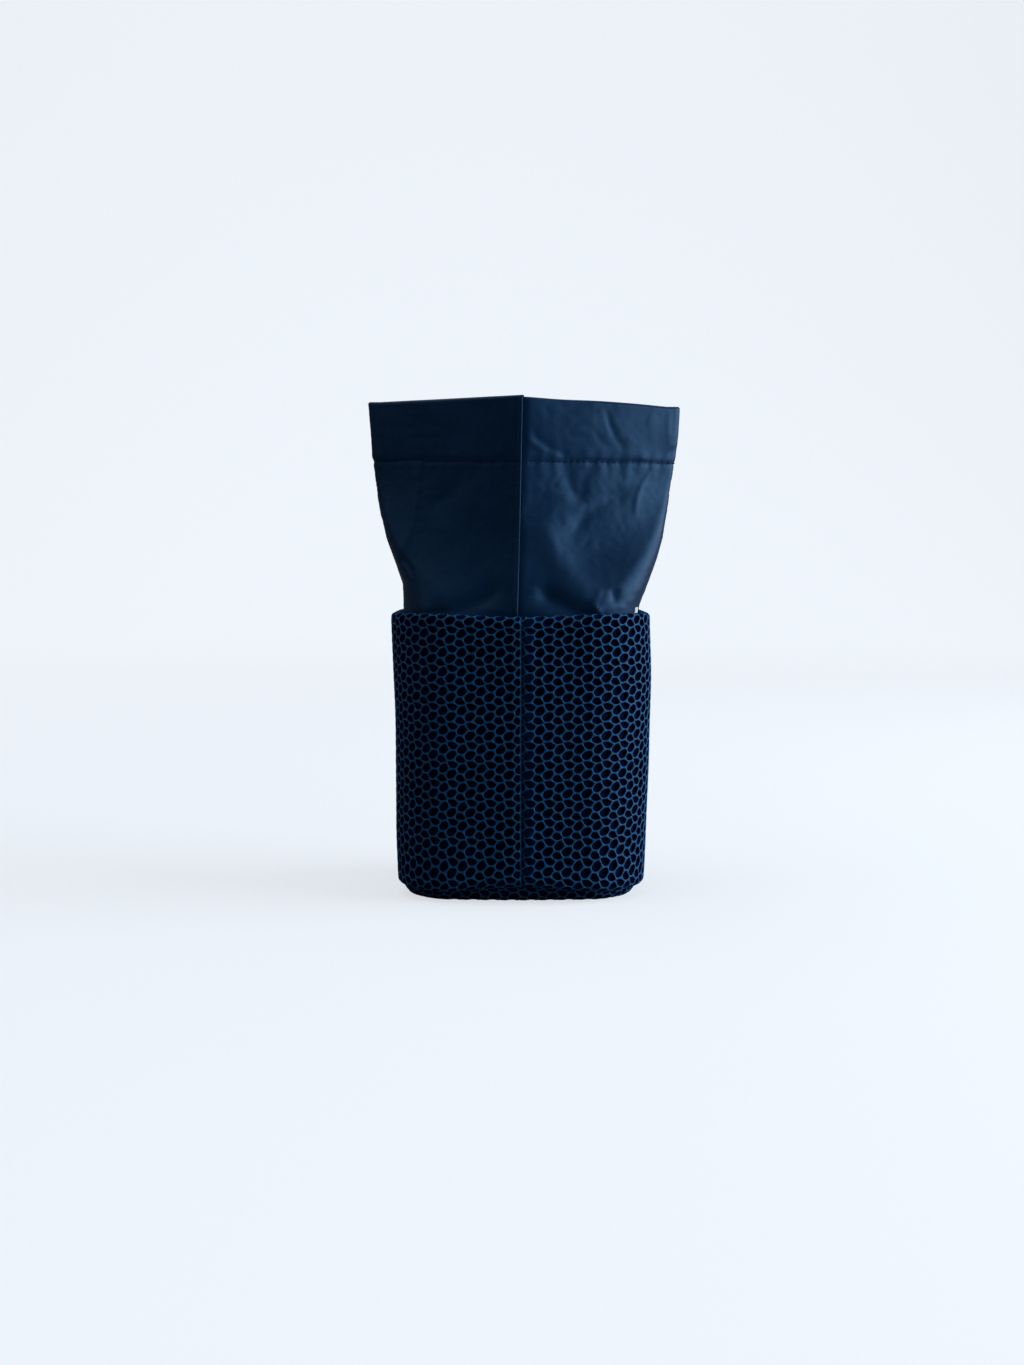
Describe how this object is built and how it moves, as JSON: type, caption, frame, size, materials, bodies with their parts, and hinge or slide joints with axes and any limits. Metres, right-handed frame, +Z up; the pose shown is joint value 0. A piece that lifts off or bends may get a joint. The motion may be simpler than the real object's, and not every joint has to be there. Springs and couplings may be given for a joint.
{
  "type": "drawstring pouch",
  "caption": "Free-standing soft pouch: a stiff knitted-mesh cup with a flat base, and a thin nylon lining that rises as a flared collar with a wide drawcord hem.",
  "frame": {"origin": "on the floor, at the middle of the base", "axes": "+Z up out of the mouth, side seams at -Y (front end) and +Y (back end), +X to the right as seen from the front end"},
  "size_m": [0.1582, 0.1208, 0.25],
  "materials": {
    "mesh": "knitted polyester spacer mesh, matt",
    "nylon": "thin plain-weave nylon with a soft sheen",
    "tape": "woven tape",
    "thread": "polyester sewing thread",
    "board": "flat sheet, matt",
    "label": "woven tab, blank"
  },
  "bodies": {
    "root": {"mesh_side_left": "mesh", "mesh_side_right": "mesh", "mesh_base": "mesh", "base_board": "board", "base_binding": "tape", "rim_binding": "tape", "side_seam_tape_front": "tape", "side_seam_tape_back": "tape", "mesh_seam_stitches_front": "thread", "mesh_seam_stitches_back": "thread", "lining_base": "nylon", "lining_side_left": "nylon", "lining_side_right": "nylon", "collar_left": "nylon", "collar_right": "nylon", "collar_seam_tape_front": "tape", "collar_seam_tape_back": "tape", "label_tab": "label"},
    "hem": {"hem_left": "nylon", "hem_right": "nylon", "hem_stitches": "thread"}
  },
  "joints": [
    {"name": "hem_drop", "type": "slide", "parent": "root", "child": "hem", "axis": [0, 0, 1], "range_m": [-0.045, 0], "deforming": ["collar_left", "collar_right", "collar_seam_tape_front", "collar_seam_tape_back"]}
  ]
}
